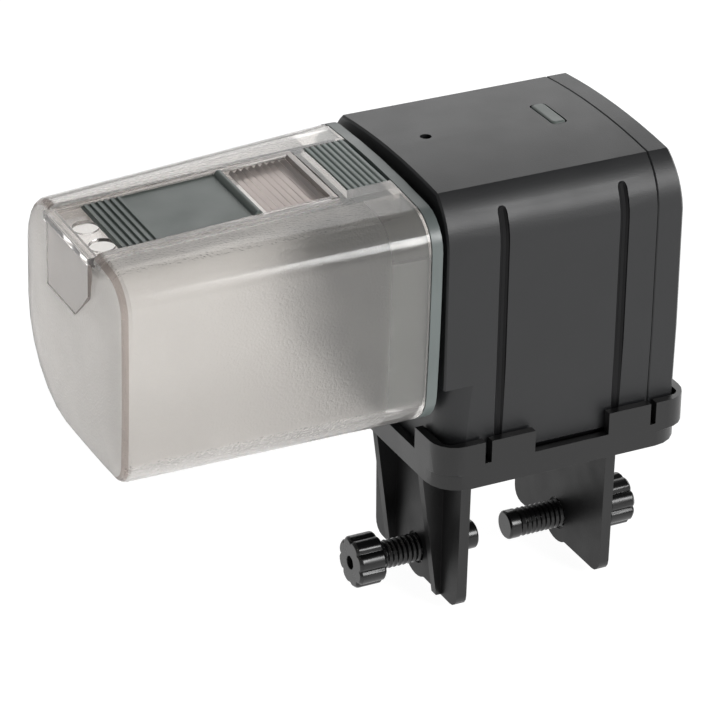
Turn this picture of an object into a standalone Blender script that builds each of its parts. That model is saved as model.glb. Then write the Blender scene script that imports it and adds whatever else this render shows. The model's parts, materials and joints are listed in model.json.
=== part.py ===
"""Automatic fish feeder that clamps on a tank rim.

Frame: metres, +Z up. The origin is the centre of the bracket tray's underside,
where it rests on the tank rim. +X runs along the drum axis from the drum to the
display end, +Y points to the battery side.
"""
import math

import bmesh
import bpy
from mathutils import Matrix, Vector

MM = 0.001
TAU = 2 * math.pi
GAP = 0.3 * MM

# ---- driving dimensions (millimetres times MM) ----
AXIS_Z = 50.8 * MM                  # drum axis above the tray's underside
DRUM_ROLL = math.radians(2.0)       # how far the drum has stopped from level
TRAY_LEFT, TRAY_RIGHT = -37.4 * MM, 39.0 * MM
TRAY_TOP_RIGHT = 40.6 * MM
TRAY_HALF_Y = 38.1 * MM
TRAY_FLOOR = 2.5 * MM
TRAY_WALL = 2.5 * MM
BAND_Z = 4.8 * MM                   # step between the tray's lower and upper band
LEDGE_Z = 4.4 * MM                  # the ledge that the housing stands on
RIM_LOW, RIM_HIGH = 7.0 * MM, 13.5 * MM
LEG_INNER = 21.3 * MM               # half the gap that takes the tank wall
LEG_THICK = 3.1 * MM
LEG_BOTTOM = -46.4 * MM
LEG_HALF_Y = 25.0 * MM
GUSSET_ROOT, GUSSET_FOOT = 31.8 * MM, 25.8 * MM   # how far a gusset reaches, top and bottom
GUSSET_Y, GUSSET_THICK = (-15.4 * MM, 12.6 * MM), 2.8 * MM
SCREW_Z = -39.1 * MM
SCREW_LENGTH = 39.2 * MM
TIP_AT = {-1: 6.1 * MM, 1: 4.2 * MM}      # how far from the middle each screw now ends
TIP_LENGTH = 3.7 * MM
THREAD_PITCH = 1.5 * MM
CREST_R, ROOT_R = 4.25 * MM, 3.75 * MM
KNOB_R, KNOB_LENGTH = 7.5 * MM, 8.4 * MM
BORE_R = 4.75 * MM
LUG_R = 8.8 * MM                    # round lower edge of the leg, about the bore
HOUSE_LEFT, HOUSE_SEAM, HOUSE_RIGHT = -35.7 * MM, 27.9 * MM, 36.0 * MM
HOUSE_BOTTOM, HOUSE_TOP = 4.8 * MM, 87.0 * MM
HOUSE_HALF_Y, HOUSE_FOOT_HALF_Y = 35.4 * MM, 34.9 * MM
CAP_LEAN_Z = 68.0 * MM                 # above this the end face leans back a little
COLLAR_Z = 30.2 * MM                # the collar's lower edge, above the rounded foot
FOOT_BACK = 1.2 * MM                # how far the foot's left face stands behind the collar
WALL = 2.0 * MM
SHOULDER_R = 19.5 * MM
SHOULDER_START = math.radians(38)      # slope at which the round shoulder leaves the crease
CROWN = 1.6 * MM                       # drop of the top from its middle to the crease
GROOVE_R, GROOVE_OUT = 1.5 * MM, 0.35 * MM     # side grooves: radius, and its centre outside the wall
GROOVE_X = {"a": -18.6 * MM, "b": 17.85 * MM}
DRUM_END, DRUM_OPEN = -127.5 * MM, -41.3 * MM
CAP_LEFT, CAP_RIGHT = -41.0 * MM, -37.9 * MM
DECK_OUT, DECK_IN = 26.4 * MM, 30.6 * MM   # channel floor above the axis at each end
CHANNEL_Y = (-14.0 * MM, 16.2 * MM)        # the drum's top channel, front and back
DECK_TILT = math.atan2(DECK_IN - DECK_OUT, DRUM_OPEN - DRUM_END)
COVER_LENGTH = 70.0 * MM
FLAP_X = (DRUM_END - 1.55 * MM, DRUM_END - 0.35 * MM)
FLAP_DROP = 17.5 * MM
DOSE_HOLE_X, DOSE_HOLE_Y, DOSE_HOLE_R = 6.1 * MM, (-5.4 * MM, 5.6 * MM), 3.6 * MM
HUB_R = 9.3 * MM
COUPLING_AF, SOCKET_AF = 9.0 * MM, 10.2 * MM
GEAR_MODULE = 0.6 * MM
WHEEL_TEETH, PINION_TEETH = 36, 10
GEAR_REACH = GEAR_MODULE * (WHEEL_TEETH + PINION_TEETH) / 2
BATTERY_R, BATTERY_LENGTH = 7.1 * MM, 50.0 * MM
BATTERY_Y = 24.6 * MM
BATTERY_Z = (24.0 * MM, 39.5 * MM)
BUTTON_Y = (-16.0 * MM, 0.0, 16.0 * MM)
BUTTON_Z = 38.0 * MM
GEAR_ANGLES = (-120.0, -60.0, -150.0)      # direction from each gear to the next, in degrees

DRUM_FRAME = Matrix.Translation((0, 0, AXIS_Z)) @ Matrix.Rotation(DRUM_ROLL, 4, "X")
DECK_FRAME = (DRUM_FRAME @ Matrix.Translation((DRUM_END, 0, DECK_OUT))
              @ Matrix.Rotation(-DECK_TILT, 4, "Y"))


# ---- scene and materials ----
def clear_scene():
    for obj in list(bpy.data.objects):
        bpy.data.objects.remove(obj, do_unlink=True)


def material(name, color, roughness, metallic=0.0, alpha=1.0):
    mat = bpy.data.materials.get(name)
    if mat is None:
        mat = bpy.data.materials.new(name)
        mat.use_nodes = True
        shader = mat.node_tree.nodes["Principled BSDF"]
        shader.inputs["Base Color"].default_value = (*color, 1.0)
        shader.inputs["Roughness"].default_value = roughness
        shader.inputs["Metallic"].default_value = metallic
        shader.inputs["Alpha"].default_value = alpha
    return mat


def black():
    return material("black_plastic", (0.022, 0.023, 0.024), 0.45)


def gloss_black():
    return material("gloss_black_plastic", (0.012, 0.012, 0.013), 0.25)


def grey_green():
    return material("grey_green_plastic", (0.2, 0.24, 0.23), 0.5)


def smoke():
    return material("smoke_plastic", (0.5, 0.47, 0.45), 0.3, 0.0, 0.6)


def steel():
    return material("steel", (0.55, 0.55, 0.56), 0.3, 1.0)


def acetal():
    return material("white_acetal", (0.75, 0.75, 0.72), 0.4)


def board_green():
    return material("board_green", (0.02, 0.16, 0.07), 0.4)


# ---- shape helpers ----
def finish(bm, name, mat, matrix=None, sharp=35.0):
    bmesh.ops.recalc_face_normals(bm, faces=bm.faces)
    mesh = bpy.data.meshes.new(name)
    bm.to_mesh(mesh)
    bm.free()
    mesh.materials.append(mat)
    mesh.shade_smooth()
    mesh.set_sharp_from_angle(angle=math.radians(sharp))
    obj = bpy.data.objects.new(name, mesh)
    bpy.context.collection.objects.link(obj)
    if matrix is not None:
        obj.matrix_world = matrix
    return obj


def box(name, mat, x, y, z, matrix=None):
    """A block between the pairs x, y and z."""
    bm = bmesh.new()
    bmesh.ops.create_cube(bm, size=1.0)
    centre = Vector(((x[0] + x[1]) / 2, (y[0] + y[1]) / 2, (z[0] + z[1]) / 2))
    size = (x[1] - x[0], y[1] - y[0], z[1] - z[0])
    bmesh.ops.scale(bm, vec=size, verts=bm.verts)
    bmesh.ops.translate(bm, vec=centre, verts=bm.verts)
    return finish(bm, name, mat, matrix)


def loft(name, mat, stations, axis="X", matrix=None, sharp=35.0):
    """A closed body through outlines of equal length: stations are (position, outline)."""
    bm = bmesh.new()
    rings = []
    for position, outline in stations:
        if axis == "X":
            ring = [bm.verts.new((position, a, b)) for a, b in outline]
        elif axis == "Y":
            ring = [bm.verts.new((a, position, b)) for a, b in outline]
        else:
            ring = [bm.verts.new((a, b, position)) for a, b in outline]
        rings.append(ring)
    count = len(rings[0])
    for near, far in zip(rings, rings[1:]):
        for i in range(count):
            j = (i + 1) % count
            bm.faces.new((near[i], near[j], far[j], far[i]))
    bm.faces.new(rings[0])
    bm.faces.new(rings[-1])
    return finish(bm, name, mat, matrix, sharp)


def prism(name, mat, outline, span, axis="X", matrix=None, sharp=35.0):
    return loft(name, mat, [(span[0], outline), (span[1], outline)], axis, matrix, sharp)


def circle(radius, count=24, centre=(0.0, 0.0), start=0.0):
    return [(centre[0] + radius * math.cos(start + TAU * i / count),
             centre[1] + radius * math.sin(start + TAU * i / count)) for i in range(count)]


def hexagon(across_flats, centre=(0.0, 0.0)):
    return circle(across_flats / math.sqrt(3), 6, centre, math.pi / 6)


def rod(name, mat, radius, span, centre=(0.0, 0.0), axis="X", count=24, matrix=None):
    return prism(name, mat, circle(radius, count, centre), span, axis, matrix)


def turned(name, mat, profile, centre, count=24, matrix=None):
    """A body turned about a line parallel to X; profile is (x, radius) from end to end."""
    return loft(name, mat, [(x, circle(r, count, centre)) for x, r in profile], "X", matrix)


def cornered_rect(x, y, radii, steps=5):
    """Outline between the pairs x and y, its corners rounded from the high-high one on."""
    corners = ((x[1], y[1], -1, -1), (x[0], y[1], 1, -1), (x[0], y[0], 1, 1), (x[1], y[0], -1, 1))
    points = []
    for quarter, (radius, (px, py, sx, sy)) in enumerate(zip(radii, corners)):
        for step in range(steps + 1):
            angle = (quarter + step / steps) * math.pi / 2
            points.append((px + sx * radius + radius * math.cos(angle),
                           py + sy * radius + radius * math.sin(angle)))
    return points


def rounded_rect(x, y, radius, steps=5):
    return cornered_rect(x, y, (radius,) * 4, steps)


def combine(obj, tool, operation):
    """Cut, add or keep with a hidden tool object."""
    modifier = obj.modifiers.new(operation.lower() + "_" + tool.name, "BOOLEAN")
    modifier.operation = operation
    modifier.object = tool
    tool.display_type = "WIRE"
    tool.hide_render = True
    return obj


def cut(obj, tool):
    return combine(obj, tool, "DIFFERENCE")


def add(obj, tool):
    return combine(obj, tool, "UNION")


# ---- bracket ----
def tray_outline(right, radius, inset=0.0):
    return rounded_rect((TRAY_LEFT + inset, right - inset),
                        (-TRAY_HALF_Y + inset, TRAY_HALF_Y - inset), radius - inset)


def clamp_bracket():
    mat = black()
    low = tray_outline(TRAY_RIGHT, 9.5 * MM)
    high = tray_outline(TRAY_TOP_RIGHT, 7.5 * MM)
    stations = [(0, low), (BAND_Z - 0.6 * MM, low), (BAND_Z, high), (RIM_HIGH, high)]
    bracket = loft("clamp_bracket", mat, stations, "Z")
    pocket = tray_outline(TRAY_TOP_RIGHT, 5.0 * MM, TRAY_WALL)
    floor_pocket = tray_outline(TRAY_RIGHT - 2 * MM, 9.5 * MM, TRAY_WALL + 1.5 * MM)
    cut(bracket, prism("pocket_cutter", mat, pocket, (LEDGE_Z, RIM_HIGH + MM), "Z"))
    cut(bracket, prism("floor_cutter", mat, floor_pocket, (TRAY_FLOOR, LEDGE_Z + MM), "Z"))
    far = 45 * MM
    top = RIM_HIGH + MM
    for side in (-1, 1):
        wall = sorted((side * 35.0 * MM, side * far))
        name = "front" if side < 0 else "back"
        cut(bracket, box(name + "_notch_cutter", mat, (-8.6 * MM, 14.4 * MM), wall, (RIM_LOW, top)))
        cut(bracket, box(name + "_slit_a_cutter", mat, (-24.0 * MM, -22.0 * MM), wall, (RIM_LOW, top)))
        cut(bracket, box(name + "_slit_b_cutter", mat, (27.6 * MM, 29.3 * MM), wall, (RIM_LOW, top)))
    notch_y = (-22.3 * MM, 22.3 * MM)
    cut(bracket, box("left_notch_cutter", mat, (-far, -34.6 * MM), notch_y, (RIM_LOW, top)))
    cut(bracket, box("right_notch_cutter", mat, (36.8 * MM, far), notch_y, (RIM_LOW, top)))
    for side, name in ((-1, "left"), (1, "right")):
        add_leg(bracket, mat, side, name)
    return bracket


def add_leg(bracket, mat, side, name):
    """A leg plate with two tapered gussets and a boss for its thumbscrew."""
    inner, outer = side * LEG_INNER, side * (LEG_INNER + LEG_THICK)
    corner = 4 * MM
    outline = [(-LEG_HALF_Y - MM, 1.0 * MM), (-LEG_HALF_Y, LEG_BOTTOM + corner)]
    for step in range(1, 5):
        angle = math.pi + step * math.pi / 8
        outline.append((-LEG_HALF_Y + corner + corner * math.cos(angle),
                        LEG_BOTTOM + corner + corner * math.sin(angle)))
    outline += [(-y, z) for y, z in reversed(outline)]
    add(bracket, prism(name + "_leg_piece", mat, outline, sorted((inner, outer))))
    add(bracket, rod(name + "_lug_piece", mat, LUG_R, sorted((inner, outer)), (0, SCREW_Z), count=32))
    root, foot = side * GUSSET_ROOT, side * GUSSET_FOOT
    buried = outer - side * 0.5 * MM
    for y in GUSSET_Y:
        gusset = [(buried, MM), (root, MM), (root, -MM), (foot, LEG_BOTTOM), (buried, LEG_BOTTOM)]
        label = "front" if y < 0 else "back"
        add(bracket, prism(f"{name}_{label}_gusset_piece", mat, gusset, (y, y + GUSSET_THICK), "Y"))
    cut(bracket, rod(name + "_bore_cutter", mat, BORE_R, sorted((inner - side * MM, outer + side * MM)),
                     (0, SCREW_Z)))


def knob_outline(radius):
    """Eight round lobes with a narrow groove between them, one groove facing the front."""
    points = []
    for i in range(64):
        angle = TAU * i / 64
        groove = (1 - abs(math.sin(4 * angle))) ** 2
        reach = radius - 1.0 * MM * groove
        points.append((reach * math.cos(angle), SCREW_Z + reach * math.sin(angle)))
    return points


def thumbscrew(name, side):
    """A screw along X: lobed knob outside, ring-ridged thread, and a pocket that takes the tip's stem."""
    mat = gloss_black()
    tip = TIP_AT[side]
    knob_face = tip + SCREW_LENGTH
    knob_back = knob_face - KNOB_LENGTH
    thread_end = tip + TIP_LENGTH + GAP
    profile = [(knob_back + MM, ROOT_R), (knob_back - 0.5 * MM, ROOT_R)]
    x = knob_back - 0.9 * MM
    while x - THREAD_PITCH > thread_end:
        profile += [(x, ROOT_R), (x - 0.5 * THREAD_PITCH, CREST_R)]
        x -= THREAD_PITCH
    profile += [(thread_end + 0.1 * MM, ROOT_R), (thread_end, ROOT_R - 0.2 * MM)]
    screw = turned(name, mat, [(side * px, r) for px, r in profile], (0, SCREW_Z), 18)
    wide, narrow = knob_outline(KNOB_R), knob_outline(KNOB_R - 0.7 * MM)
    stations = [(knob_back, narrow), (knob_back + 0.7 * MM, wide), (knob_face - 0.8 * MM, wide),
                (knob_face, narrow)]
    add(screw, loft(name + "_knob_piece", mat, [(side * px, ring) for px, ring in stations]))
    cut(screw, rod(name + "_knob_hole_cutter", mat, 2.0 * MM,
                   sorted((side * (knob_face - 2.6 * MM), side * (knob_face + MM))), (0, SCREW_Z), count=12))
    cut(screw, rod(name + "_pivot_cutter", mat, 1.6 * MM,
                   sorted((side * (thread_end - MM), side * (thread_end + 4.4 * MM))), (0, SCREW_Z), count=12))
    return screw


def screw_tip(name, side):
    """The smooth tip that presses on the glass; its stem turns in the screw's end."""
    tip = TIP_AT[side]
    body = tip + TIP_LENGTH
    profile = [(body + 4.0 * MM, 1.2 * MM), (body, 1.2 * MM), (body, CREST_R - 0.2 * MM),
               (body - 0.2 * MM, CREST_R), (tip + 0.5 * MM, CREST_R), (tip, CREST_R - 0.5 * MM)]
    return turned(name, gloss_black(), [(side * x, r) for x, r in profile], (0, SCREW_Z), 24)


# ---- housing ----
def house_outline(inset=0.0):
    """Half-tube section: gently crowned top, a crisp crease, then a round shoulder."""
    half, top = HOUSE_HALF_Y - inset, HOUSE_TOP - inset
    bottom = HOUSE_BOTTOM + inset
    radius, start = SHOULDER_R - inset, SHOULDER_START
    crease_y = half - radius * (1 - math.sin(start))
    crown = CROWN
    side = []
    for step in range(5):
        y = crease_y * step / 4
        side.append((y, top - crown * (step / 4) ** 2))
    for step in range(1, 7):
        angle = start + (math.pi / 2 - start) * step / 6
        side.append((crease_y + radius * (math.sin(angle) - math.sin(start)),
                     top - crown - radius * (math.cos(start) - math.cos(angle))))
    lower = HOUSE_FOOT_HALF_Y - inset
    side += [(half, COLLAR_Z + 4 * MM), (lower, bottom + 9 * MM), (lower, bottom + 3 * MM),
             (lower - 3 * MM, bottom)]
    return [(-y, z) for y, z in reversed(side[1:])] + side


def main_housing():
    mat = black()
    outer = house_outline()
    housing = loft("main_housing", mat, [(HOUSE_LEFT, house_outline(0.5 * MM)), (HOUSE_LEFT + 0.5 * MM, outer),
                                         (HOUSE_SEAM, outer)])
    cavity = prism("housing_cavity", mat, house_outline(WALL), (HOUSE_LEFT + WALL, HOUSE_SEAM + MM))
    cut(housing, cut(cavity, foot_ring("cavity_foot", WALL)))
    cut(housing, foot_ring("outer_foot", 0.0))
    for label, x in GROOVE_X.items():
        for side in (-1, 1):
            cut(housing, groove_tool(f"groove_{label}{side + 1}_cutter", x, side))
    cut(housing, rod("air_hole_cutter", mat, 1.6 * MM, (80 * MM, 90 * MM), (-23.0 * MM, 2.6 * MM), "Z", 16))
    cut(housing, prism("status_slot_cutter", mat, rounded_rect((12.0 * MM, 16.9 * MM), (-4.8 * MM, 9.2 * MM),
                                                              1.2 * MM, 3), (80 * MM, 90 * MM), "Z"))
    cut(housing, rod("shaft_hole_cutter", mat, 6.6 * MM, (-40 * MM, -30 * MM), (0, AXIS_Z)))
    cut(housing, box("battery_door_cutter", mat, (-26.5 * MM, 26.5 * MM), (30 * MM, 40 * MM),
                     (15.8 * MM, 49.2 * MM)))
    for index, (y, z) in enumerate(case_screw_places()):
        add(housing, rod(f"case_boss_{index}_piece", mat, 3.4 * MM, (12 * MM, HOUSE_SEAM - 0.4 * MM), (y, z),
                         count=16))
        cut(housing, rod(f"case_pilot_{index}_cutter", mat, 1.45 * MM, (14 * MM, 30 * MM), (y, z), count=12))
    for index, (y, z) in enumerate(gear_centres()[1:3]):
        cut(housing, rod(f"pin_seat_{index}_cutter", mat, 1.3 * MM, (front_face(z) + 0.8 * MM, -30 * MM), (y, z),
                         count=12))
    return housing


def groove_tool(name, x, side):
    """A bent rod that runs up the side wall and round the start of the shoulder, with a round end."""
    base = HOUSE_TOP - CROWN - SHOULDER_R * math.cos(SHOULDER_START)
    middle = HOUSE_HALF_Y - SHOULDER_R
    reach = SHOULDER_R + GROOVE_OUT
    path = [(6 * MM, math.radians(90), GROOVE_R)]
    for degrees, radius in ((90, GROOVE_R), (80, GROOVE_R), (70, GROOVE_R), (62, GROOVE_R),
                            (59, 0.8 * GROOVE_R), (57.5, 0.4 * GROOVE_R)):
        path.append((None, math.radians(degrees), radius))
    bm = bmesh.new()
    rings = []
    for height, angle, radius in path:
        y = middle + reach * math.sin(angle)
        z = base + reach * math.cos(angle) if height is None else height
        ring = []
        for across, out in circle(radius, 12):
            ring.append(bm.verts.new((x + across, side * (y + out * math.sin(angle)),
                                      z + out * math.cos(angle))))
        rings.append(ring)
    for near, far in zip(rings, rings[1:]):
        for i in range(12):
            j = (i + 1) % 12
            bm.faces.new((near[i], near[j], far[j], far[i]))
    bm.faces.new(rings[0])
    bm.faces.new(rings[-1])
    return finish(bm, name, black())


def front_face(z):
    """Where the housing's left face stands at height z."""
    return HOUSE_LEFT if z > COLLAR_Z else HOUSE_LEFT + FOOT_BACK


def foot_ring(name, inset):
    """The material round the foot's left end: cutting it leaves round vertical corners."""
    left = HOUSE_LEFT + FOOT_BACK + inset
    half = HOUSE_HALF_Y - inset
    keep = rounded_rect((left, 60 * MM), (-half, half), 9 * MM - inset, 8)
    ring = box(name + "_ring", black(), (-60 * MM, -20 * MM), (-50 * MM, 50 * MM), (-5 * MM, COLLAR_Z + inset))
    return cut(ring, prism(name + "_keep", black(), keep, (-10 * MM, COLLAR_Z + 5 * MM), "Z"))


def case_screw_places():
    return ((-30.2 * MM, 9.2 * MM), (30.2 * MM, 9.2 * MM), (-28.2 * MM, 78.7 * MM), (28.2 * MM, 78.7 * MM))


def end_cap():
    mat = black()
    outer = house_outline()
    edge = house_outline(1.2 * MM)
    face = house_outline(9 * MM)
    bulge = 0.7 * MM
    cap = loft("end_cap", mat, [(HOUSE_SEAM + GAP, house_outline(0.25 * MM)), (HOUSE_SEAM + 0.6 * MM, outer),
                                (HOUSE_RIGHT - 1.0 * MM + bulge, outer), (HOUSE_RIGHT + bulge, edge),
                                (HOUSE_RIGHT + 2 * bulge, face)])
    for vert in cap.data.vertices:
        if vert.co.x > HOUSE_RIGHT - 0.5 * MM and vert.co.z > CAP_LEAN_Z:
            vert.co.x -= 1.5 * MM * ((vert.co.z - CAP_LEAN_Z) / (HOUSE_TOP - CAP_LEAN_Z))
    cut(cap, prism("end_cavity", mat, house_outline(WALL), (HOUSE_SEAM, HOUSE_RIGHT - WALL)))
    for index, (y, z) in enumerate(case_screw_places()):
        add(cap, rod(f"end_boss_{index}_piece", mat, 3.4 * MM, (HOUSE_SEAM + 0.6 * MM, HOUSE_RIGHT - MM), (y, z),
                     count=16))
        cut(cap, rod(f"end_hole_{index}_cutter", mat, 1.7 * MM, (20 * MM, 45 * MM), (y, z), count=12))
        cut(cap, rod(f"end_sink_{index}_cutter", mat, 2.9 * MM, (HOUSE_RIGHT - 2.6 * MM, 45 * MM), (y, z),
                     count=16))
    cut(cap, prism("display_window_cutter", mat, rounded_rect((-15.3 * MM, 15.3 * MM), (53.7 * MM, 70.3 * MM),
                                                             2 * MM, 3), (30 * MM, 45 * MM)))
    for index, y in enumerate(BUTTON_Y):
        cut(cap, rod(f"button_hole_{index}_cutter", mat, 4.5 * MM, (30 * MM, 45 * MM), (y, BUTTON_Z), count=20))
    return cap


def push_button(name, y):
    """A cap in the end face with a stem towards its switch, and a collar behind the wall."""
    profile = [(31.7, 1.5), (32.9, 1.5), (32.9, 5.2), (33.6, 5.2), (33.6, 4.1), (37.6, 4.1), (37.9, 3.6)]
    return turned(name, grey_green(), [(x * MM, r * MM) for x, r in profile], (y, BUTTON_Z), 20)


def display_parts():
    window = rounded_rect((-14.9 * MM, 14.9 * MM), (54.1 * MM, 69.9 * MM), 1.8 * MM, 3)
    prism("display_window", material("clear_plastic", (0.6, 0.62, 0.6), 0.1, 0.0, 0.5), window,
          (34.4 * MM, 37.0 * MM))
    box("display_module", material("display_grey", (0.35, 0.38, 0.33), 0.3), (30.6 * MM, 33.8 * MM),
        (-14.5 * MM, 14.5 * MM), (54 * MM, 70 * MM))
    board = prism("control_board", board_green(), rounded_rect((-22 * MM, 22 * MM), (28 * MM, 72 * MM), 2 * MM, 2),
                  (28.7 * MM, 30.2 * MM))
    for index, y in enumerate(BUTTON_Y):
        add(board, box(f"switch_{index}_piece", board_green(), (30.0 * MM, 31.0 * MM), (y - 3 * MM, y + 3 * MM),
                       (BUTTON_Z - 3 * MM, BUTTON_Z + 3 * MM)))
    return board


def status_parts():
    lens = rounded_rect((12.35 * MM, 16.55 * MM), (-4.45 * MM, 8.85 * MM), 1.1 * MM, 3)
    small = rounded_rect((12.9 * MM, 16.0 * MM), (-3.9 * MM, 8.3 * MM), 0.9 * MM, 3)
    loft("status_lens", grey_green(), [(82.6 * MM, lens), (86.9 * MM, lens), (87.3 * MM, small)], "Z")
    rod("status_led", material("led_body", (0.7, 0.7, 0.7), 0.3), 1.5 * MM, (77.5 * MM, 82.2 * MM),
        (14.4 * MM, 2.2 * MM), "Z", 16)
    tube = rod("air_duct", black(), 2.6 * MM, (72.0 * MM, 84.3 * MM), (-23.0 * MM, 2.6 * MM), "Z", 16)
    cut(tube, rod("air_duct_bore", black(), 1.6 * MM, (70 * MM, 90 * MM), (-23.0 * MM, 2.6 * MM), "Z", 16))


def case_screws():
    for index, (y, z) in enumerate(case_screw_places()):
        profile = [(18.0, 1.0), (20.0, 1.3), (33.3, 1.3), (33.7, 2.5), (35.0, 2.5), (35.3, 2.2)]
        screw = turned(f"case_screw_{index + 1}", steel(), [(x * MM, r * MM) for x, r in profile], (y, z), 16)
        for turn in (0, 1):
            cross = ((-1.6, 1.6), (-0.35, 0.35)) if turn else ((-0.35, 0.35), (-1.6, 1.6))
            cut(screw, box(f"cross_{index}{turn}_cutter", steel(), (34.4 * MM, 36 * MM),
                           (y + cross[0][0] * MM, y + cross[0][1] * MM),
                           (z + cross[1][0] * MM, z + cross[1][1] * MM)))


# ---- battery bay ----
def battery_parts():
    mat = black()
    low, high = BATTERY_Z[0] - 8.0 * MM, BATTERY_Z[1] + 8.0 * MM
    tray = box("battery_tray", mat, (-25.9 * MM, 27.6 * MM), (15.6 * MM, 31.6 * MM), (low, high))
    for index, z in enumerate(BATTERY_Z):
        cut(tray, rod(f"cell_seat_{index}_cutter", mat, 7.45 * MM, (-25.0 * MM, 26.6 * MM), (BATTERY_Y, z)))
        cut(tray, box(f"cell_mouth_{index}_cutter", mat, (-25.0 * MM, 26.6 * MM), (BATTERY_Y, 40 * MM),
                      (z - 7.3 * MM, z + 7.3 * MM)))
    shell = material("battery_wrap", (0.3, 0.3, 0.32), 0.35, 0.6)
    for index, z in enumerate(BATTERY_Z):
        flip = 1 if index == 0 else -1
        length = [(-23.9, 6.6), (-23.6, 7.1), (24.3, 7.1), (24.6, 6.2), (24.6, 2.7), (25.9, 2.7)]
        profile = [((flip * (x - 0.9) + 0.9) * MM, r * MM) for x, r in length]
        turned(f"battery_cell_{index + 1}", shell, profile, (BATTERY_Y, z), 24)
    for index, z in enumerate(BATTERY_Z):
        end = -24.6 * MM if index == 0 else 26.3 * MM
        start = end - 0.3 * MM
        turned(f"battery_contact_{index + 1}", steel(),
               [(start, 4.2 * MM), (end, 4.2 * MM)], (BATTERY_Y, z), 16)
    cover_outline = rounded_rect((-26.0 * MM, 26.0 * MM), (16.3 * MM, 48.7 * MM), 2.0 * MM, 3)
    cover = prism("battery_cover", mat, cover_outline, (33.4 * MM, 35.3 * MM), "Y")
    for index in range(5):
        z = (24 + 3 * index) * MM
        cut(cover, box(f"cover_grip_{index}_cutter", mat, (-9 * MM, 9 * MM), (34.8 * MM, 36 * MM),
                       (z, z + 1.2 * MM)))


# ---- drive train ----
def gear_centres():
    """Output shaft, two idlers and the motor, each one gear reach from the last."""
    points = [Vector((0.0, AXIS_Z))]
    for angle in GEAR_ANGLES:
        step = Vector((math.cos(math.radians(angle)), math.sin(math.radians(angle))))
        points.append(points[-1] + GEAR_REACH * step)
    return [(p.x, p.y) for p in points]


def gear_outline(teeth, centre, tooth_angle):
    """Tapered teeth with the root, flank and tip as straight lines."""
    root = GEAR_MODULE * (teeth - 2.5) / 2
    tip = GEAR_MODULE * (teeth + 1.9) / 2
    pitch = TAU / teeth
    points = []
    for tooth in range(teeth):
        middle = tooth_angle + tooth * pitch
        for radius, offset in ((root, -0.27), (tip, -0.11), (tip, 0.11), (root, 0.27)):
            angle = middle + offset * pitch
            points.append((centre[0] + radius * math.cos(angle), centre[1] + radius * math.sin(angle)))
    return points


def wheel_angle(index):
    """A wheel has a tooth on the line to the next centre."""
    return math.radians(GEAR_ANGLES[index])


def pinion_angle(index):
    """A pinion has a gap on the line back to the wheel that it meets."""
    return math.radians(GEAR_ANGLES[index]) + math.pi + math.pi / PINION_TEETH


def compound_gear(name, index, pinion_span, wheel_span):
    centre = gear_centres()[index]
    gear = prism(name, acetal(), gear_outline(WHEEL_TEETH, centre, wheel_angle(index)), wheel_span)
    pinion = prism(name + "_pinion_piece", acetal(),
                   gear_outline(PINION_TEETH, centre, pinion_angle(index - 1)), pinion_span)
    add(gear, pinion)
    cut(gear, rod(name + "_bore_cutter", acetal(), 1.3 * MM, (-40 * MM, 0), centre, count=12))
    return gear


def drive_parts():
    centres = gear_centres()
    output = prism("output_gear", acetal(), gear_outline(WHEEL_TEETH, centres[0], wheel_angle(0)),
                   (-29.7 * MM, -27.2 * MM))
    shaft = [(-54.0, 3.0), (-27.0, 3.0), (-27.0, 1.9), (-18.6, 1.9)]
    add(output, turned("output_shaft_piece", acetal(), [(x * MM, r * MM) for x, r in shaft], centres[0]))
    coupling = prism("drive_coupling", gloss_black(), hexagon(COUPLING_AF, centres[0]), (-55.5 * MM, -36.9 * MM))
    cut(coupling, rod("coupling_bore_cutter", gloss_black(), 3.3 * MM, (-60 * MM, -30 * MM), centres[0]))
    bush = turned("shaft_bush", material("bronze", (0.5, 0.33, 0.16), 0.35, 1.0),
                  [(-36.3 * MM, 6.2 * MM), (-33.4 * MM, 6.2 * MM), (-33.4 * MM, 8.0 * MM), (-31.6 * MM, 8.0 * MM)],
                  centres[0])
    cut(bush, rod("bush_bore_cutter", acetal(), 3.35 * MM, (-40 * MM, -30 * MM), centres[0]))
    compound_gear("idler_gear_1", 1, (-29.9 * MM, -26.3 * MM), (-26.6 * MM, -24.1 * MM))
    compound_gear("idler_gear_2", 2, (-26.8 * MM, -23.2 * MM), (-23.5 * MM, -21.0 * MM))
    motor_gear = prism("motor_pinion", material("brass", (0.6, 0.45, 0.2), 0.3, 1.0),
                       gear_outline(PINION_TEETH, centres[3], pinion_angle(2)), (-23.6 * MM, -20.6 * MM))
    add(motor_gear, rod("motor_shaft_piece", steel(), 0.9 * MM, (-24.4 * MM, -16.5 * MM), centres[3], count=12))
    for index in (1, 2):
        start = front_face(centres[index][1]) + 1.1 * MM
        rod(f"gear_pin_{index}", steel(), 1.0 * MM, (start, -18.4 * MM), centres[index], count=12)
    plate = prism("gearbox_plate", black(), rounded_rect((-22 * MM, 14 * MM), (8.5 * MM, 60 * MM), 4 * MM, 3),
                  (-20.0 * MM, -18.0 * MM))
    for index, radius in ((0, 2.2), (1, 1.3), (2, 1.3), (3, 1.6)):
        cut(plate, rod(f"plate_hole_{index}_cutter", black(), radius * MM, (-21 * MM, -17 * MM), centres[index],
                       count=16))
    for index, (y, z) in enumerate(((-19 * MM, 56 * MM), (11 * MM, 12 * MM), (-19.6 * MM, 31 * MM))):
        add(plate, rod(f"plate_post_{index}_piece", black(), 2.2 * MM, (-32.2 * MM, -19.9 * MM), (y, z), count=12))
    can = [(-17.6, 3.0), (-16.4, 3.0), (-16.4, 9.6), (-16.0, 10.0), (6.6, 10.0), (7.0, 9.6)]
    motor = turned("drive_motor", steel(), [(x * MM, r * MM) for x, r in can], centres[3])
    cut(motor, rod("motor_bore_cutter", steel(), 1.3 * MM, (-18 * MM, -16.0 * MM), centres[3], count=12))


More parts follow.
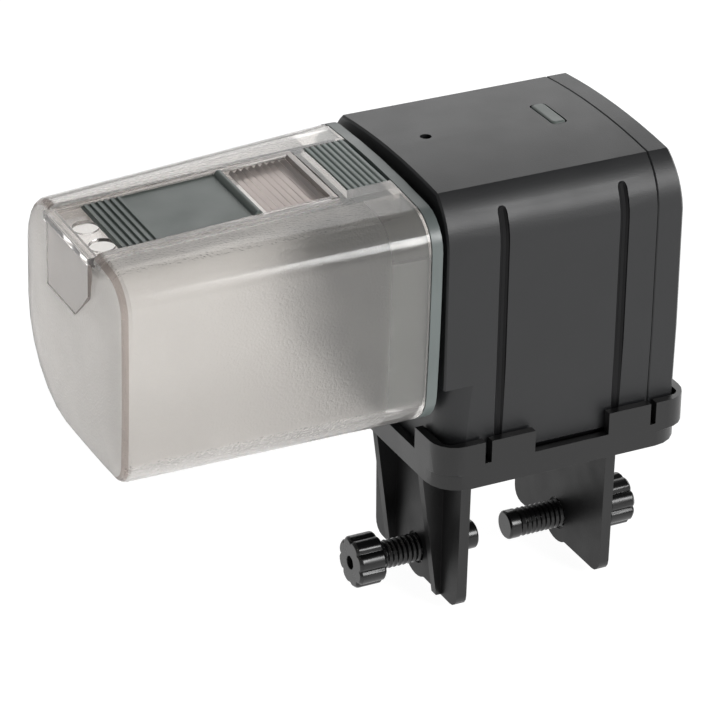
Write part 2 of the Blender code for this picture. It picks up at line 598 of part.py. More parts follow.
# ---- drum ----
def drum_outline(t, inset=0.0):
    """Rounded-square section; t runs from 0 at the closed end to 1 at the cap.

    The lower back corner is the roundest, so that food slides towards the holes.
    """
    half = (33.2 + 3.1 * t) * MM - inset
    top = (31.1 + 2.6 * t) * MM - inset
    bottom = (31.1 + 0.3 * t) * MM - inset
    back_top, front_top = 14 - 4 * t, 8.5 + 0.5 * t
    front_low, back_low = 6 + 4 * t, 26 - 15 * t
    radii = [max(0.6 * MM, r * MM - 0.6 * inset) for r in (back_top, front_top, front_low, back_low)]
    crown, bulge = 1.8 * MM, 0.7 * MM
    points = []
    frame = cornered_rect((-half, half), (-bottom, top), radii, 6)
    per_corner = 7
    for index, (y, z) in enumerate(frame):
        points.append((y, z))
        if index % per_corner == per_corner - 1:
            follow = frame[(index + 1) % len(frame)]
            points += [(y + (follow[0] - y) * k / 4, z + (follow[1] - z) * k / 4) for k in (1, 2, 3)]
    shaped = []
    for y, z in points:
        height = top if z > 0 else bottom
        shaped.append((y - math.copysign(bulge, y) * (z / height) ** 2 if abs(y) > 1e-6 else y,
                       z + (-crown if z > 0 else 1.2 * MM) * (y / half) ** 2))
    return shaped


def drum_t(x):
    return (x - DRUM_END) / (DRUM_OPEN - DRUM_END)


def drum_shell():
    mat = smoke()
    end = DRUM_END
    edge = 2.6 * MM
    stations = [(end - 1.4 * MM, drum_outline(0, 18 * MM)), (end - 0.8 * MM, drum_outline(0, 9 * MM))]
    for step in range(5):
        angle = step / 4 * math.pi / 2
        stations.append((end + edge * (1 - math.cos(angle)), drum_outline(0, edge * (1 - math.sin(angle)))))
    stations.append((DRUM_OPEN, drum_outline(1)))
    shell = loft("drum_shell", mat, stations, matrix=DRUM_FRAME)
    cavity = loft("drum_cavity", mat, [
        (end + 1.4 * MM, drum_outline(0, 4.5 * MM)), (end + 2.0 * MM, drum_outline(0, 3.0 * MM)),
        (end + 3.2 * MM, drum_outline(0.01, WALL)),
        (DRUM_OPEN + MM, drum_outline(1, WALL))], matrix=DRUM_FRAME)
    slab_y = (CHANNEL_Y[0] - 2.8 * MM, CHANNEL_Y[1] + 2.8 * MM)
    cut(cavity, box("slab_keep_cutter", mat, (-5 * MM, 90 * MM), slab_y, (-2.0 * MM, 12 * MM), DECK_FRAME))
    cut(cavity, box("pocket_keep_cutter", mat, (70.3 * MM, 90 * MM), slab_y, (-4.9 * MM, 12 * MM), DECK_FRAME))
    cut(shell, cavity)
    cut(shell, box("channel_cutter", mat, (-9 * MM, COVER_LENGTH + 0.3 * MM), CHANNEL_Y, (0, 12 * MM), DECK_FRAME))
    groove = (CHANNEL_Y[0] - 1.2 * MM, CHANNEL_Y[1] + 1.2 * MM)
    cut(shell, box("cover_groove_cutter", mat, (-9 * MM, COVER_LENGTH + 0.3 * MM), groove, (0, 1.5 * MM),
                   DECK_FRAME))
    cut(shell, box("latch_pocket_cutter", mat, (73.6 * MM, 90 * MM), (-11.2 * MM, CHANNEL_Y[1]),
                   (-2.9 * MM, 12 * MM), DECK_FRAME))
    cut(shell, box("fill_opening_cutter", mat, (2.4 * MM, 65 * MM), (-10.5 * MM, 12.7 * MM), (-6 * MM, 3 * MM),
                   DECK_FRAME))
    cut(shell, prism("flap_recess_cutter", mat, flap_outline(0.5 * MM), (end - 6 * MM, end + 0.2 * MM),
                     matrix=DRUM_FRAME))
    return shell


def flap_outline(margin=0.0):
    """The end flap: square at the back, its front lower corner cut away."""
    left, right = CHANNEL_Y[1] - 2.2 * MM + margin, CHANNEL_Y[0] + GAP - margin
    low, high = DECK_OUT - FLAP_DROP - margin, DECK_OUT + 1.2 * MM + margin
    return [(left, high), (left, low), (-4.8 * MM, low), (-9.8 * MM, low + 5.0 * MM), (right, low + 9.5 * MM),
            (right, high)]


def fill_cover():
    """Clear sliding cover: rails on both sides, dose holes, thumb ridges and an end flap."""
    mat = material("clear_smoke_plastic", (0.6, 0.56, 0.55), 0.2, 0.0, 0.5)
    y = (CHANNEL_Y[0] + GAP, CHANNEL_Y[1] - GAP)
    tongue = (CHANNEL_Y[0] - 0.9 * MM, CHANNEL_Y[1] + 0.9 * MM)
    floor, shelf, top = GAP, 1.15 * MM, 3.1 * MM
    section = [(tongue[0], floor), (tongue[1], floor), (tongue[1], shelf), (y[1], shelf), (y[1], top),
               (y[0], top), (y[0], shelf), (tongue[0], shelf)]
    cover = prism("fill_cover", mat, section, (0.3 * MM, COVER_LENGTH), matrix=DECK_FRAME)
    wide = (y[0] + 0.8 * MM, y[1] - 0.8 * MM)
    narrow = (y[0] + 1.3 * MM, y[1] - 1.3 * MM)
    low, lip = 1.3 * MM, 2.65 * MM
    track = [(wide[0], low), (wide[1], low), (wide[1], lip), (narrow[1], lip), (narrow[1], 6 * MM),
             (narrow[0], 6 * MM), (narrow[0], lip), (wide[0], lip)]
    cut(cover, prism("cover_track_cutter", mat, track, (1.4 * MM, COVER_LENGTH - 1.6 * MM), matrix=DECK_FRAME))
    nose_y = (y[0] + 0.02 * MM, y[1] - 0.02 * MM)
    add(cover, box("cover_nose_piece", mat, (-1.5 * MM, 1.2 * MM), nose_y, (0.35 * MM, 3.05 * MM), DECK_FRAME))
    ridges = [(51.0 * MM, 0.9 * MM)]
    for index in range(9):
        start = (51.2 + 1.9 * index) * MM
        ridges += [(start, 1.25 * MM), (start + 1.5 * MM, 2.5 * MM), (start + 1.9 * MM, 1.25 * MM)]
    ridges = [p for i, p in enumerate(ridges) if i == 0 or p[0] - ridges[i - 1][0] > 0.01 * MM]
    ridges.append((ridges[-1][0], 0.9 * MM))
    add(cover, prism("thumb_ridges_piece", mat, ridges, (y[0] + 1.1 * MM, y[1] - 1.1 * MM), "Y", DECK_FRAME))
    for index, hole_y in enumerate(DOSE_HOLE_Y):
        cut(cover, rod(f"dose_hole_{index}_cutter", mat, DOSE_HOLE_R, (-1 * MM, 6 * MM),
                       (DOSE_HOLE_X, hole_y), "Z", 24, DECK_FRAME))
    add(cover, prism("end_flap_piece", mat, flap_outline(), FLAP_X, matrix=DRUM_FRAME))
    return cover


def dose_gate():
    """Slides over the dose holes: a ribbed grip at one end, a round lip at the other."""
    mat = grey_green()
    y = (CHANNEL_Y[0] + 1.4 * MM, CHANNEL_Y[1] - 1.4 * MM)
    inner = (y[0] + 0.8 * MM, y[1] - 0.8 * MM)
    gate = box("dose_gate", mat, (8.8 * MM, 49.0 * MM), y, (1.6 * MM, 2.35 * MM), DECK_FRAME)
    for index in range(6):
        x = (8.9 + 1.9 * index) * MM
        rib = [(x, 2.0 * MM), (x + 1.5 * MM, 2.0 * MM), (x + 1.2 * MM, 2.95 * MM), (x + 0.3 * MM, 2.95 * MM)]
        add(gate, prism(f"gate_rib_{index}_piece", mat, rib, inner, "Y", DECK_FRAME))
    lip = [(47.9 * MM + 1.2 * MM * math.cos(math.pi * k / 6), 2.3 * MM + 1.5 * MM * math.sin(math.pi * k / 6))
           for k in range(7)]
    lip += [(46.7 * MM, 2.0 * MM), (49.1 * MM - 0.3 * MM, 2.0 * MM)]
    add(gate, prism("gate_lip_piece", mat, lip, inner, "Y", DECK_FRAME))
    return gate


def cap_latch():
    """Ribbed press latch that holds the drum shell on its cap."""
    mat = grey_green()
    y = (-10.8 * MM, CHANNEL_Y[1] - 0.4 * MM)
    x = (74.0 * MM, 86.0 * MM)
    outline = [(x[0], -1.4 * MM), (x[0], 2.1 * MM)]
    pitch = (x[1] - x[0]) / 7
    for index in range(7):
        start = x[0] + index * pitch
        outline += [(start + 0.2 * pitch, 3.0 * MM), (start + 0.75 * pitch, 3.0 * MM),
                    (start + 0.97 * pitch, 2.4 * MM)]
    outline += [(x[1], 2.1 * MM), (x[1], -1.4 * MM)]
    return prism("cap_latch", mat, outline, y, "Y", DECK_FRAME)


def drum_cap():
    mat = grey_green()
    cap = prism("drum_cap", mat, drum_outline(1.02), (CAP_LEFT, CAP_RIGHT), matrix=DRUM_FRAME)
    skirt_end = -51.8 * MM
    skirt = loft("cap_skirt_piece", mat, [(skirt_end, drum_outline(drum_t(skirt_end), 2.5 * MM)),
                                          (CAP_LEFT + 0.5 * MM, drum_outline(1, 2.5 * MM))], matrix=DRUM_FRAME)
    core_end = -54.0 * MM
    cut(skirt, loft("skirt_core_cutter", mat, [(core_end, drum_outline(drum_t(core_end), 4.2 * MM)),
                                               (CAP_LEFT, drum_outline(1, 4.2 * MM))], matrix=DRUM_FRAME))
    cut(skirt, box("skirt_top_cutter", mat, (-60 * MM, CAP_LEFT), (-40 * MM, 40 * MM), (21 * MM, 40 * MM),
                   DRUM_FRAME))
    add(cap, skirt)
    hub_tube = rod("cap_hub_piece", mat, HUB_R + 2.0 * MM, (-52 * MM, CAP_RIGHT - 1.0 * MM), matrix=DRUM_FRAME)
    recess = prism("cap_recess_cutter", mat, drum_outline(1, 3.2 * MM), (CAP_RIGHT - 1.3 * MM, CAP_RIGHT + MM),
                   matrix=DRUM_FRAME)
    cut(cap, recess)
    add(cap, hub_tube)
    cut(cap, rod("cap_hub_cutter", mat, HUB_R + GAP, (-60 * MM, -30 * MM), matrix=DRUM_FRAME))
    return cap


def drive_socket():
    mat = gloss_black()
    socket = rod("drive_socket", mat, HUB_R, (-59.5 * MM, CAP_RIGHT - 0.9 * MM), matrix=DRUM_FRAME)
    cut(socket, prism("socket_bore_cutter", mat, hexagon(SOCKET_AF), (-57.5 * MM, -30 * MM), matrix=DRUM_FRAME))
    return socket


def build():
    clear_scene()
    clamp_bracket()
    for side, name in ((-1, "left"), (1, "right")):
        thumbscrew(name + "_thumbscrew", side)
        screw_tip(name + "_screw_tip", side)
    main_housing()
    end_cap()
    for name, y in zip(("set_button", "mode_button", "feed_button"), BUTTON_Y):
        push_button(name, y)
    display_parts()
    status_parts()
    case_screws()
    battery_parts()
    drive_parts()
    drum_shell()
    fill_cover()
    dose_gate()
    cap_latch()
    drum_cap()
    drive_socket()


build()
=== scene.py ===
"""Looks for the automatic fish feeder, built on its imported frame.

Frame: metres, +Z up, origin at the centre of the bracket tray's underside.
"""

import json
import math

import bmesh
import bpy
from mathutils import Matrix, Vector

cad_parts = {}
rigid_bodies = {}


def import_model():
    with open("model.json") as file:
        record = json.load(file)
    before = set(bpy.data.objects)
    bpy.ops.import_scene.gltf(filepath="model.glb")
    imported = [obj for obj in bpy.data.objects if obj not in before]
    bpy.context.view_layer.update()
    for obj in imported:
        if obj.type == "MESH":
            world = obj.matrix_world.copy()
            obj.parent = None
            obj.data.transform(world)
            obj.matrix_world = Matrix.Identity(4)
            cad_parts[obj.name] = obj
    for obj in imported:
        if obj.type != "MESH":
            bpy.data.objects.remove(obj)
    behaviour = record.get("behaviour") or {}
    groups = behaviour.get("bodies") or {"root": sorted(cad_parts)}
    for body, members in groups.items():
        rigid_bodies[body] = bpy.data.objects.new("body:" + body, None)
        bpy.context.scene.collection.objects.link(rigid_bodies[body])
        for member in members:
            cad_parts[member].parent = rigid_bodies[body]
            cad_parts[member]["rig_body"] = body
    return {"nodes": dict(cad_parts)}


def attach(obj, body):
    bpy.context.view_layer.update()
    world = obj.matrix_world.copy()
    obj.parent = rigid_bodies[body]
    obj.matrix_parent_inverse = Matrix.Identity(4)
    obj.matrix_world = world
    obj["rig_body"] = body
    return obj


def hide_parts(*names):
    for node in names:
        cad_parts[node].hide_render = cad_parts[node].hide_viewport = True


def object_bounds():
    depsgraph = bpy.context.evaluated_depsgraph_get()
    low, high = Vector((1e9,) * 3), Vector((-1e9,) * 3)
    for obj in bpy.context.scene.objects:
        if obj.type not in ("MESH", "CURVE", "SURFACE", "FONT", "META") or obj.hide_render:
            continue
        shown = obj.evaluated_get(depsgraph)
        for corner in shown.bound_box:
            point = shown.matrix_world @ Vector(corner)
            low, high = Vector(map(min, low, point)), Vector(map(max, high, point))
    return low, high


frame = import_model()
cad_low, cad_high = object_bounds()

MM = 0.001

# the drum, and the flat deck on it where the cover slides
AXIS_Z = 50.8 * MM
DRUM_ROLL = math.radians(2.0)
DRUM_END, DRUM_OPEN = -127.5 * MM, -41.3 * MM
SKIRT_END = -52.0 * MM
DECK_OUT, DECK_IN = 26.4 * MM, 30.6 * MM
DECK_TILT = math.atan2(DECK_IN - DECK_OUT, DRUM_OPEN - DRUM_END)
DRUM_FRAME = Matrix.Translation((0, 0, AXIS_Z)) @ Matrix.Rotation(DRUM_ROLL, 4, "X")
DECK_FRAME = (DRUM_FRAME @ Matrix.Translation((DRUM_END, 0, DECK_OUT))
              @ Matrix.Rotation(-DECK_TILT, 4, "Y"))
TO_DECK = DECK_FRAME.inverted()

# where faces are told apart; a normal with more than FACING along an axis faces that way
FACING = 0.7
# below this height the legs' faces that face along X are painted darker as shade
LEG_TOP = -0.5 * MM
# the housing's side grooves, whose faces are painted darker as shade
GROOVE_X, GROOVE_HALF, GROOVE_SIDE = (-18.6 * MM, 17.85 * MM), 1.55 * MM, 20 * MM
END_ZONE = -100 * MM
END_FACE, END_FROST_TOP = DRUM_END + 0.5 * MM, AXIS_Z + 27 * MM
# the rounded edge of the drum's end, whose outer faces get the painted shade tint
END_ROUND, ROUND_NORMAL = DRUM_END + 2.7 * MM, (-0.9, -0.45)
# the cover's flap: its inner face is sand-blasted, and its side faces below FLAP_TOP get the
# painted shade tint
FLAP_INSIDE, FLAP_OUTSIDE, FLAP_TOP = DRUM_END + 0.3 * MM, DRUM_END - 0.3 * MM, AXIS_Z + 24 * MM
FLAP_FACING = 0.5

# the cover's thumb ridges, in the deck's frame: spans along it and heights above it
CREST_SPAN, CREST_HEIGHT, CREST_REACH = (51 * MM, 68.5 * MM), 2.5 * MM, 0.05 * MM
CREST_SHIFT = Vector((-0.55 * MM, 0, -0.3 * MM))
GRIP_SPAN, GRIP_FLOOR = (50.5 * MM, 68.8 * MM), 0.8 * MM
# the ridges' slopes in this span that face +X get the painted shade tint
SLOPE_SPAN, SLOPE_FLOOR, SLOPE_FACING = (51 * MM, 68.3 * MM), 1.4 * MM, 0.3

# mesh clean-up and the crease angles that get a rounded edge
WELD_DISTANCE, FLAT_ANGLE = 1e-6, math.radians(0.2)
CREASE, SOFT_CREASE = 40.0, 25.0
EDGE_SEGMENTS = 2

# textures: features per metre
DRIFT_SCALE, CLEAR_DRIFT_SCALE, METAL_DRIFT_SCALE = 60.0, 50.0, 300.0
SMEAR_SCALE, CLEAR_SMEAR_SCALE, SMEAR_DETAIL = 90.0, 120.0, 5.0
BRUSHED_SCALE, BRUSHED_DETAIL, BRUSHED_STRETCH = 900.0, 4.0, (1, 1, 40)
WAVY_SCALE, WAVY_DEPTH = 260.0, 0.006 * MM
NOISE_RANGE = (0.3, 0.7)

# stage, lamps (name, place, size in metres, power in watts) and camera
FLOOR_SIZE, FLOOR_GAP, FLOOR_TONE, FLOOR_GLOW = 6.0, 0.4 * MM, 0.25, 0.95
WORLD_LEVEL = 0.4
DIM_HEIGHTS, DIM_LEVELS = (0.5, 0.85), (1.0, 0.1)
LAMP_TARGET = (0, 0, 0.06)
LAMPS = (
    ("back_softbox", (0.64, 1.26, 0.78), (1.4, 0.9), 6.5),
    ("front_softbox", (0.60, -1.20, 0.68), (0.5, 0.5), 12.0),
)
CAMERA_PLACE = (-0.4630, -0.8259, 0.5081)
CAMERA_ANGLES = (26.95, 27.55, 0.91)
CAMERA_LENS, CAMERA_SENSOR = 190.7, 36.0


# ---- materials ----
def new_material(name):
    mat = bpy.data.materials.new(name)
    mat.use_nodes = True
    nodes, links = mat.node_tree.nodes, mat.node_tree.links
    return mat, nodes, links, nodes["Principled BSDF"]


def noise(nodes, links, scale, detail=3.0, stretch=None):
    """Noise in the part's own space; scale is in features per metre."""
    coords = nodes.new("ShaderNodeTexCoord")
    texture = nodes.new("ShaderNodeTexNoise")
    texture.inputs["Scale"].default_value = scale
    texture.inputs["Detail"].default_value = detail
    if stretch is None:
        links.new(coords.outputs["Object"], texture.inputs["Vector"])
    else:
        mapping = nodes.new("ShaderNodeMapping")
        mapping.inputs["Scale"].default_value = stretch
        links.new(coords.outputs["Object"], mapping.inputs["Vector"])
        links.new(mapping.outputs["Vector"], texture.inputs["Vector"])
    return texture


def mapped(nodes, links, source, given, wanted):
    """The source with its given range stretched to the wanted one."""
    ramp = nodes.new("ShaderNodeMapRange")
    ramp.inputs["From Min"].default_value, ramp.inputs["From Max"].default_value = given
    ramp.inputs["To Min"].default_value, ramp.inputs["To Max"].default_value = wanted
    links.new(source, ramp.inputs["Value"])
    return ramp.outputs["Result"]


def varied_color(nodes, links, shader, color, spread, scale):
    """Slow drift of the colour between a darker and a lighter tone."""
    mix = nodes.new("ShaderNodeMix")
    mix.data_type = "RGBA"
    mix.inputs["A"].default_value = (*[c * (1 - spread) for c in color], 1)
    mix.inputs["B"].default_value = (*[min(1.0, c * (1 + spread)) for c in color], 1)
    links.new(noise(nodes, links, scale).outputs["Fac"], mix.inputs["Factor"])
    links.new(mix.outputs["Result"], shader.inputs["Base Color"])


def bump(nodes, links, shader, height, distance):
    node = nodes.new("ShaderNodeBump")
    node.inputs["Distance"].default_value = distance
    node.inputs["Strength"].default_value = 1.0
    links.new(height, node.inputs["Height"])
    links.new(node.outputs["Normal"], shader.inputs["Normal"])


def plastic(name, color, rough, grain=2600.0, depth=0.02 * MM, rough_spread=0.06, shine=0.5):
    mat, nodes, links, shader = new_material(name)
    shader.inputs["Specular IOR Level"].default_value = shine
    varied_color(nodes, links, shader, color, 0.15, DRIFT_SCALE)
    smear = noise(nodes, links, SMEAR_SCALE, SMEAR_DETAIL)
    roughness = (rough - rough_spread, rough + rough_spread)
    links.new(mapped(nodes, links, smear.outputs["Fac"], NOISE_RANGE, roughness),
              shader.inputs["Roughness"])
    bump(nodes, links, shader, noise(nodes, links, grain).outputs["Fac"], depth)
    return mat


def metal(name, color, rough, spread=0.08):
    """Brushed metal; the spread is that of its colour and of its roughness."""
    mat, nodes, links, shader = new_material(name)
    shader.inputs["Metallic"].default_value = 1.0
    varied_color(nodes, links, shader, color, spread, METAL_DRIFT_SCALE)
    lines = noise(nodes, links, BRUSHED_SCALE, BRUSHED_DETAIL, BRUSHED_STRETCH)
    roughness = (rough - spread, rough + spread)
    links.new(mapped(nodes, links, lines.outputs["Fac"], NOISE_RANGE, roughness),
              shader.inputs["Roughness"])
    bump(nodes, links, shader, lines.outputs["Fac"], 0.005 * MM)
    return mat


def clear(name, color, rough, grain, depth, ior=1.45, passes=1.0):
    """Transparent plastic, tinted by its colour. Faces whose "frost" is 1 are sand-blasted.

    rough holds the range of the smooth faces and then that of the sand-blasted ones.
    """
    mat, nodes, links, shader = new_material(name)
    shader.inputs["Transmission Weight"].default_value = passes
    shader.inputs["IOR"].default_value = ior
    varied_color(nodes, links, shader, color, 0.015, CLEAR_DRIFT_SCALE)
    frost = nodes.new("ShaderNodeAttribute")
    frost.attribute_name = "frost"
    smear = noise(nodes, links, CLEAR_SMEAR_SCALE, SMEAR_DETAIL)
    blend = nodes.new("ShaderNodeMix")
    links.new(frost.outputs["Fac"], blend.inputs["Factor"])
    for socket, roughness in (("A", rough[:2]), ("B", rough[2:])):
        links.new(mapped(nodes, links, smear.outputs["Fac"], NOISE_RANGE, roughness),
                  blend.inputs[socket])
    links.new(blend.outputs["Result"], shader.inputs["Roughness"])
    fine, coarse = noise(nodes, links, grain, 2.0), noise(nodes, links, WAVY_SCALE, 2.0)
    fine_bump, coarse_bump = nodes.new("ShaderNodeBump"), nodes.new("ShaderNodeBump")
    fine_bump.inputs["Distance"].default_value = depth
    coarse_bump.inputs["Distance"].default_value = WAVY_DEPTH
    links.new(frost.outputs["Fac"], fine_bump.inputs["Strength"])
    links.new(fine.outputs["Fac"], fine_bump.inputs["Height"])
    links.new(coarse.outputs["Fac"], coarse_bump.inputs["Height"])
    links.new(coarse_bump.outputs["Normal"], fine_bump.inputs["Normal"])
    links.new(fine_bump.outputs["Normal"], shader.inputs["Normal"])
    return mat


BLACK = plastic("charcoal_texture", (0.0115, 0.012, 0.013), 0.42, depth=0.03 * MM,
                rough_spread=0.02)
# painted shade: a darker, duller copy of the housing's black, laid in the side grooves for the
# shade inside them
SHADE = plastic("charcoal_groove_painted_shade", (0.006, 0.006, 0.0065), 0.45, shine=0.22)
BRACKET = plastic("bracket_charcoal", (0.007, 0.007, 0.0072), 0.34, 1500.0)
# painted shade: a darker, duller copy of the bracket's black for the legs' faces that sit in shade
LEG = plastic("leg_charcoal_painted_shade", (0.005, 0.005, 0.0052), 0.4, 1500.0, shine=0.2)
GLOSS = plastic("screw_black", (0.006, 0.006, 0.0062), 0.25, 900.0, 0.01 * MM)
SOCKET = plastic("socket_black", (0.02, 0.02, 0.02), 0.4)
GREEN = plastic("grey_green", (0.148, 0.174, 0.162), 0.42, 1800.0)
# painted light: a lighter copy of the grey-green, brightened to offset the shade in the latch's
# ribs
LATCH = plastic("latch_grey_green_painted_light", (0.25, 0.29, 0.275), 0.42, 1800.0)
RING = plastic("ring_grey_green", (0.14, 0.162, 0.158), 0.36, 1800.0)
ACETAL = plastic("acetal", (0.72, 0.72, 0.68), 0.4)
BOARD = plastic("solder_resist", (0.015, 0.12, 0.05), 0.35, 900.0)
WRAP = plastic("cell_wrap", (0.18, 0.18, 0.2), 0.3, 700.0)
DISPLAY = plastic("display_glass", (0.26, 0.29, 0.24), 0.15, 500.0, 0.004 * MM)
LED = plastic("led_lens", (0.7, 0.7, 0.68), 0.25)
STEEL = metal("steel", (0.6, 0.6, 0.61), 0.3)
BRASS = metal("brass", (0.65, 0.48, 0.22), 0.3)
BRONZE = metal("bronze", (0.5, 0.33, 0.18), 0.38)
DRUM = clear("drum_smoke", (0.868, 0.845, 0.818), (0.10, 0.18, 0.40, 0.52), 1500.0, 0.14 * MM,
             passes=0.91)
# painted shade: a darker tint of the clear plastic, for the dark lines where thick walls are seen
# edge-on and for one side of each thumb ridge
EDGE = clear("clear_edge_painted_shade", (0.42, 0.35, 0.32), (0.10, 0.20, 0.40, 0.52), 1500.0, 0.10 * MM,
             passes=0.8)
COVER = clear("cover_clear", (0.90, 0.875, 0.86), (0.06, 0.14, 0.35, 0.45), 1500.0, 0.04 * MM,
              ior=1.3, passes=0.93)
GRIP = clear("cover_grip", (0.79, 0.73, 0.705), (0.10, 0.18, 0.35, 0.45), 1500.0, 0.04 * MM,
             ior=1.4, passes=0.5)
WINDOW = clear("window_clear", (0.85, 0.87, 0.85), (0.02, 0.06, 0.3, 0.4), 1500.0, 0.01 * MM)


# ---- mesh helpers ----
def from_bmesh(bm, name, mats):
    mesh = bpy.data.meshes.new(name)
    bm.to_mesh(mesh)
    bm.free()
    for mat in mats:
        mesh.materials.append(mat)
    mesh.shade_smooth()
    obj = bpy.data.objects.new(name, mesh)
    bpy.context.scene.collection.objects.link(obj)
    return obj


def soften(obj, width, angle):
    """Rounds the edges that are sharper than the angle, in degrees."""
    modifier = obj.modifiers.new("rounded_edges", "BEVEL")
    modifier.width = width
    modifier.segments = EDGE_SEGMENTS
    modifier.limit_method = "ANGLE"
    modifier.angle_limit = math.radians(angle)
    modifier.use_clamp_overlap = True
    obj.modifiers.new("even_faces", "WEIGHTED_NORMAL")


def refined(node, mats, width, sharp=CREASE, splits=(), shape=None):
    """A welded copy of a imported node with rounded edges, which is shown in its place."""
    bm = bmesh.new()
    bm.from_mesh(frame["nodes"][node].data)
    bmesh.ops.remove_doubles(bm, verts=bm.verts, dist=WELD_DISTANCE)
    bmesh.ops.dissolve_limit(bm, angle_limit=FLAT_ANGLE, verts=bm.verts, edges=bm.edges)
    bmesh.ops.recalc_face_normals(bm, faces=bm.faces)
    for x in splits:
        bmesh.ops.bisect_plane(bm, geom=[*bm.verts, *bm.edges, *bm.faces], dist=WELD_DISTANCE,
                               plane_co=(x, 0, 0), plane_no=(1, 0, 0))
    if shape is not None:
        for vert in bm.verts:
            vert.co = shape(vert.co)
    obj = from_bmesh(bm, node + "_look", mats if isinstance(mats, tuple) else (mats,))
    soften(obj, width, sharp)
    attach(obj, frame["nodes"][node]["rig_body"])
    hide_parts(node)
    return obj


def frost_faces(obj, test):
    """Marks the faces whose centre and normal pass the test as sand-blasted."""
    layer = obj.data.attributes.new("frost", "FLOAT", "FACE")
    for face in obj.data.polygons:
        layer.data[face.index].value = 1.0 if test(face.center, face.normal) else 0.0


def set_material(obj, index, test):
    """Gives the faces whose centre and normal pass the test the piece's material of that index."""
    for face in obj.data.polygons:
        if test(face.center, face.normal):
            face.material_index = index


def inner_face(centre, normal):
    """True on the drum's inner walls, which face its axis, and on the inner side of its end."""
    if abs(normal.x) > FACING:
        return normal.x > 0 and centre.x < END_ZONE
    return (centre.y * normal.y + (centre.z - AXIS_Z) * normal.z) < 0


# painted shade: the faces found here get the darker groove black
def in_groove(centre):
    """True on the faces of the housing's four side grooves."""
    return (abs(centre.y) > GROOVE_SIDE
            and min(abs(centre.x - x) for x in GROOVE_X) < GROOVE_HALF)


def on_deck(centre, span, floor):
    """True within a span along the deck and higher above it than the floor."""
    local = TO_DECK @ centre
    return span[0] < local.x < span[1] and local.z > floor


def even_ridges(point):
    """Moves a thumb ridge's crest to the middle of its pitch and lowers it, so both slopes show."""
    local = TO_DECK @ point
    if (CREST_SPAN[0] < local.x < CREST_SPAN[1]
            and abs(local.z - CREST_HEIGHT) < CREST_REACH):
        local += CREST_SHIFT
    return DECK_FRAME @ local


# ---- the shown pieces ----
bracket = refined("clamp_bracket", (BRACKET, LEG), 0.3 * MM)
# painted shade: the legs' faces that face along X get the darker copy
set_material(bracket, 1, lambda c, n: c.z < LEG_TOP and abs(n.x) > FACING)
for side in ("left", "right"):
    refined(side + "_thumbscrew", GLOSS, 0.2 * MM)
    refined(side + "_screw_tip", GLOSS, 0.15 * MM)
housing = refined("main_housing", (BLACK, SHADE), 0.3 * MM, sharp=SOFT_CREASE)
# painted shade: the groove faces get the darker, duller black
set_material(housing, 1, lambda c, n: in_groove(c))
refined("end_cap", BLACK, 0.3 * MM, sharp=SOFT_CREASE)
refined("drum_cap", RING, 0.2 * MM)
refined("drive_socket", SOCKET, 0.3 * MM)
refined("dose_gate", GREEN, 0.15 * MM)
refined("cap_latch", LATCH, 0.15 * MM)
cover = refined("fill_cover", (COVER, GRIP, EDGE), 0.12 * MM, shape=even_ridges)
frost_faces(cover, lambda c, n: c.x < FLAP_INSIDE and n.x > FLAP_FACING)
set_material(cover, 1, lambda c, n: on_deck(c, GRIP_SPAN, GRIP_FLOOR))
# painted shade: the thumb ridges' +X-facing slopes get the darker tint
set_material(cover, 2, lambda c, n: on_deck(c, SLOPE_SPAN, SLOPE_FLOOR) and n.x > SLOPE_FACING)
# painted shade: the flap's side faces, a thick edge seen edge-on, get the darker tint
set_material(cover, 2, lambda c, n: (
    c.x < FLAP_OUTSIDE and abs(n.x) < FLAP_FACING and c.z < FLAP_TOP))
drum = refined("drum_shell", (DRUM, EDGE), 0.25 * MM, splits=(SKIRT_END,))
frost_faces(drum, lambda c, n: c.x < SKIRT_END and (
    inner_face(c, n) or (c.x < END_FACE and c.z < END_FROST_TOP)))
# painted shade: the drum end's rounded edge gets the darker tint, for the dark line where the thick
# wall is seen edge-on
set_material(drum, 1, lambda c, n: (
    c.x < END_ROUND and ROUND_NORMAL[0] < n.x < ROUND_NORMAL[1] and not inner_face(c, n)))

# pieces of one material: the material, the width of the rounded edges, the nodes
for mat, width, names in (
    (GREEN, 0.2 * MM, ("status_lens", "set_button", "mode_button", "feed_button")),
    (BLACK, 0.2 * MM, ("battery_cover", "battery_tray", "gearbox_plate", "air_duct",
                       "drive_coupling")),
    (ACETAL, 0.05 * MM, ("output_gear", "idler_gear_1", "idler_gear_2")),
    (STEEL, 0.1 * MM, ("case_screw_1", "case_screw_2", "case_screw_3", "case_screw_4",
                       "gear_pin_1", "gear_pin_2", "drive_motor", "battery_contact_1",
                       "battery_contact_2")),
    (BRASS, 0.05 * MM, ("motor_pinion",)),
    (BRONZE, 0.15 * MM, ("shaft_bush",)),
    (BOARD, 0.1 * MM, ("control_board",)),
    (DISPLAY, 0.2 * MM, ("display_module",)),
    (WINDOW, 0.15 * MM, ("display_window",)),
    (LED, 0.2 * MM, ("status_led",)),
    (WRAP, 0.2 * MM, ("battery_cell_1", "battery_cell_2")),
):
    for name in names:
        refined(name, mat, width)


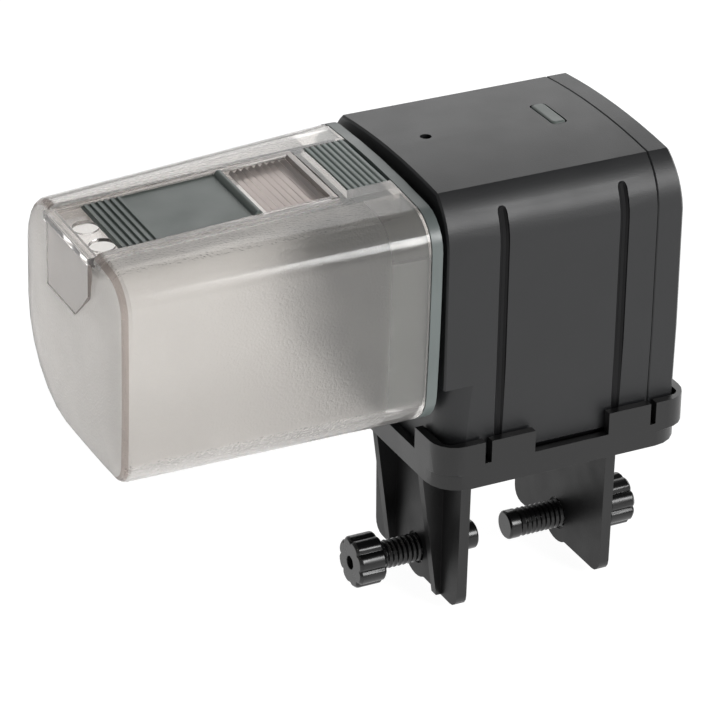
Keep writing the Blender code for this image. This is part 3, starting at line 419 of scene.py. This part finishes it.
# ---- stage, light and camera ----
def stage():
    """A flat floor that glows a little, for the photograph's white ground."""
    bm = bmesh.new()
    bmesh.ops.create_grid(bm, x_segments=1, y_segments=1, size=FLOOR_SIZE)
    floor = from_bmesh(bm, "floor", ())
    floor.location = (0, 0, cad_low.z - FLOOR_GAP)
    mat, _, _, shader = new_material("pale_floor")
    shader.inputs["Base Color"].default_value = (FLOOR_TONE, FLOOR_TONE, FLOOR_TONE, 1)
    shader.inputs["Roughness"].default_value = 0.7
    shader.inputs["Specular IOR Level"].default_value = 0.0
    shader.inputs["Emission Color"].default_value = (1, 1, 1, 1)
    shader.inputs["Emission Strength"].default_value = FLOOR_GLOW
    floor.data.materials.append(mat)


def area_light(name, location, size, power):
    light = bpy.data.lights.new(name, "AREA")
    light.shape = "RECTANGLE"
    light.size, light.size_y = size
    light.energy = power
    obj = bpy.data.objects.new(name, light)
    obj.location = location
    direction = Vector(LAMP_TARGET) - Vector(location)
    obj.rotation_euler = direction.to_track_quat("-Z", "Y").to_euler()
    bpy.context.scene.collection.objects.link(obj)


def light_scene():
    """A room that darkens overhead, a wide lamp behind the feeder and a small one in front."""
    world = bpy.data.worlds.new("studio")
    world.use_nodes = True
    nodes, links = world.node_tree.nodes, world.node_tree.links
    background = nodes["Background"]
    background.inputs["Strength"].default_value = WORLD_LEVEL
    direction = nodes.new("ShaderNodeTexCoord")
    height = nodes.new("ShaderNodeSeparateXYZ")
    links.new(direction.outputs["Generated"], height.inputs["Vector"])
    links.new(mapped(nodes, links, height.outputs["Z"], DIM_HEIGHTS, DIM_LEVELS),
              background.inputs["Color"])
    bpy.context.scene.world = world
    bpy.context.scene.view_settings.view_transform = "Standard"
    for lamp in LAMPS:
        area_light(*lamp)


def camera():
    """The photograph's view: the direction ahead, tipped by the roll."""
    azimuth, elevation, roll = (math.radians(angle) for angle in CAMERA_ANGLES)
    ahead = Vector((math.sin(azimuth) * math.cos(elevation),
                    math.cos(azimuth) * math.cos(elevation), -math.sin(elevation)))
    level = Vector((math.cos(azimuth), -math.sin(azimuth), 0))
    above = level.cross(ahead)
    right = math.cos(roll) * level + math.sin(roll) * above
    up = -math.sin(roll) * level + math.cos(roll) * above
    data = bpy.data.cameras.new("camera")
    data.lens = CAMERA_LENS
    data.sensor_width = CAMERA_SENSOR
    obj = bpy.data.objects.new("camera", data)
    rows = [(right[i], up[i], -ahead[i], CAMERA_PLACE[i]) for i in range(3)]
    obj.matrix_world = Matrix((*rows, (0, 0, 0, 1)))
    bpy.context.scene.collection.objects.link(obj)
    bpy.context.scene.camera = obj


stage()
light_scene()
camera()
